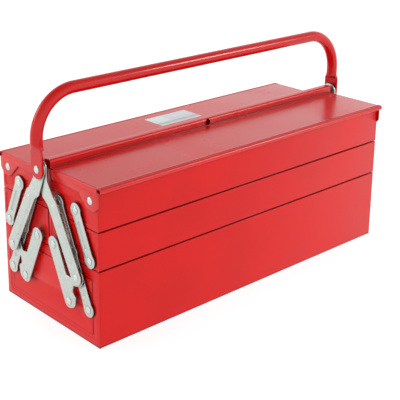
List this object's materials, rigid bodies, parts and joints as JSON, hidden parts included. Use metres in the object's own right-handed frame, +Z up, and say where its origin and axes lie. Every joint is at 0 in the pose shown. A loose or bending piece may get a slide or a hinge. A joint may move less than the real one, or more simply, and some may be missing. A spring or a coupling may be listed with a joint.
{
  "type": "cantilever toolbox",
  "caption": "Long red sheet-steel toolbox with stacked trays that fan out on zinc-plated levers under a tubular bow handle, with two lids and a padlock ridge.",
  "frame": {"origin": "on the floor under the middle of the closed box", "axes": "+X along the box and the handle's grip, +Y towards the rear half with the lower lid, +Z up"},
  "size_m": [0.5742, 0.218, 0.3115],
  "materials": {
    "red_sheet": "glossy red powder coat on folded sheet steel",
    "red_tube": "glossy red powder coat on bent tube",
    "zinc_plate": "bright zinc-plated pressed steel",
    "rivet_steel": "bright domed rivet heads",
    "label_paper": "blank satin sticker"
  },
  "bodies": {
    "box": {"box_shell": "red_sheet", "box_end_left": "red_sheet", "box_end_right": "red_sheet", "box_rivets": "rivet_steel"},
    "front_middle_tray": {"front_middle_shell": "red_sheet", "front_middle_end_left": "red_sheet", "front_middle_end_right": "red_sheet", "front_middle_rivets": "rivet_steel"},
    "front_upper_tray": {"front_upper_shell": "red_sheet", "front_upper_end_left": "red_sheet", "front_upper_end_right": "red_sheet", "front_upper_rivets": "rivet_steel", "front_lid_rivets": "rivet_steel"},
    "front_lid": {"front_lid": "red_sheet"},
    "front_cranks": {"front_crank_left": "zinc_plate", "front_crank_right": "zinc_plate"},
    "front_long_levers": {"front_long_lever_left": "zinc_plate", "front_long_lever_right": "zinc_plate"},
    "front_short_levers": {"front_short_lever_left": "zinc_plate", "front_short_lever_right": "zinc_plate"},
    "front_arms": {"front_arm_left": "zinc_plate", "front_arm_right": "zinc_plate", "front_arm_rivets": "rivet_steel"},
    "rear_middle_tray": {"rear_middle_shell": "red_sheet", "rear_middle_end_left": "red_sheet", "rear_middle_end_right": "red_sheet", "rear_middle_rivets": "rivet_steel"},
    "rear_upper_tray": {"rear_upper_shell": "red_sheet", "rear_upper_end_left": "red_sheet", "rear_upper_end_right": "red_sheet", "rear_upper_rivets": "rivet_steel", "rear_lid_rivets": "rivet_steel"},
    "rear_lid": {"rear_lid": "red_sheet", "label": "label_paper"},
    "rear_cranks": {"rear_crank_left": "zinc_plate", "rear_crank_right": "zinc_plate"},
    "rear_long_levers": {"rear_long_lever_left": "zinc_plate", "rear_long_lever_right": "zinc_plate"},
    "rear_short_levers": {"rear_short_lever_left": "zinc_plate", "rear_short_lever_right": "zinc_plate"},
    "rear_arms": {"rear_arm_left": "zinc_plate", "rear_arm_right": "zinc_plate", "rear_arm_rivets": "rivet_steel"},
    "handle_pins": {"handle_rivets": "rivet_steel"},
    "handle": {"handle": "red_tube"}
  },
  "joints": [
    {"name": "trays_open", "type": "hinge", "parent": "box", "child": "front_long_levers", "pos_m": [0, -0.083, 0.0465], "axis": [1, 0, 0], "range_deg": [0, 49.27]},
    {"name": "front_crank_turn", "type": "hinge", "parent": "box", "child": "front_cranks", "pos_m": [0, -0.048, 0.0465], "axis": [1, 0, 0], "range_deg": [0, 49.27]},
    {"name": "front_middle_tray_level", "type": "hinge", "parent": "front_long_levers", "child": "front_middle_tray", "pos_m": [0, -0.0525, 0.113], "axis": [1, 0, 0], "range_deg": [-49.27, 0]},
    {"name": "front_upper_tray_level", "type": "hinge", "parent": "front_long_levers", "child": "front_upper_tray", "pos_m": [0, -0.0261, 0.1705], "axis": [1, 0, 0], "range_deg": [-49.27, 0]},
    {"name": "front_short_lever_turn", "type": "hinge", "parent": "front_middle_tray", "child": "front_short_levers", "pos_m": [0, -0.087, 0.113], "axis": [1, 0, 0], "range_deg": [0, 49.27]},
    {"name": "front_lid_open", "type": "hinge", "parent": "front_upper_tray", "child": "front_lid", "pos_m": [0, -0.088, 0.1905], "axis": [1, 0, 0], "range_deg": [0, 80]},
    {"name": "rear_long_lever_turn", "type": "hinge", "parent": "box", "child": "rear_long_levers", "pos_m": [0, 0.083, 0.0465], "axis": [-1, 0, 0], "range_deg": [0, 49.27]},
    {"name": "rear_crank_turn", "type": "hinge", "parent": "box", "child": "rear_cranks", "pos_m": [0, 0.048, 0.0465], "axis": [-1, 0, 0], "range_deg": [0, 49.27]},
    {"name": "rear_middle_tray_level", "type": "hinge", "parent": "rear_long_levers", "child": "rear_middle_tray", "pos_m": [0, 0.0525, 0.113], "axis": [-1, 0, 0], "range_deg": [-49.27, 0]},
    {"name": "rear_upper_tray_level", "type": "hinge", "parent": "rear_long_levers", "child": "rear_upper_tray", "pos_m": [0, 0.0261, 0.1705], "axis": [-1, 0, 0], "range_deg": [-49.27, 0]},
    {"name": "rear_short_lever_turn", "type": "hinge", "parent": "rear_middle_tray", "child": "rear_short_levers", "pos_m": [0, 0.087, 0.113], "axis": [-1, 0, 0], "range_deg": [0, 49.27]},
    {"name": "rear_lid_open", "type": "hinge", "parent": "rear_upper_tray", "child": "rear_lid", "pos_m": [0, 0.088, 0.185], "axis": [-1, 0, 0], "range_deg": [0, 72]},
    {"name": "handle_pin_drop", "type": "slide", "parent": "box", "child": "handle_pins", "axis": [0, 0, 1], "range_m": [-0.0449, 0]},
    {"name": "front_arm_turn", "type": "hinge", "parent": "handle_pins", "child": "front_arms", "pos_m": [0, 0, 0.2085], "axis": [-1, 0, 0], "range_deg": [0, 11.51]},
    {"name": "rear_arm_turn", "type": "hinge", "parent": "handle_pins", "child": "rear_arms", "pos_m": [0, 0, 0.2085], "axis": [1, 0, 0], "range_deg": [0, 11.51]},
    {"name": "handle_swing", "type": "hinge", "parent": "handle_pins", "child": "handle", "pos_m": [0, 0, 0.2085], "axis": [1, 0, 0], "range_deg": [-40, 40]}
  ],
  "couplings": [
    {"joint": "front_crank_turn", "follows": "trays_open", "ratio": 1},
    {"joint": "front_middle_tray_level", "follows": "trays_open", "ratio": -1},
    {"joint": "front_upper_tray_level", "follows": "trays_open", "ratio": -1},
    {"joint": "front_short_lever_turn", "follows": "trays_open", "ratio": 1},
    {"joint": "rear_long_lever_turn", "follows": "trays_open", "ratio": 1},
    {"joint": "rear_crank_turn", "follows": "trays_open", "ratio": 1},
    {"joint": "rear_middle_tray_level", "follows": "trays_open", "ratio": -1},
    {"joint": "rear_upper_tray_level", "follows": "trays_open", "ratio": -1},
    {"joint": "rear_short_lever_turn", "follows": "trays_open", "ratio": 1},
    {"joint": "handle_pin_drop", "follows": "trays_open", "m_per_rad": -0.052138},
    {"joint": "front_arm_turn", "follows": "trays_open", "ratio": 0.23257},
    {"joint": "rear_arm_turn", "follows": "trays_open", "ratio": 0.23257}
  ]
}
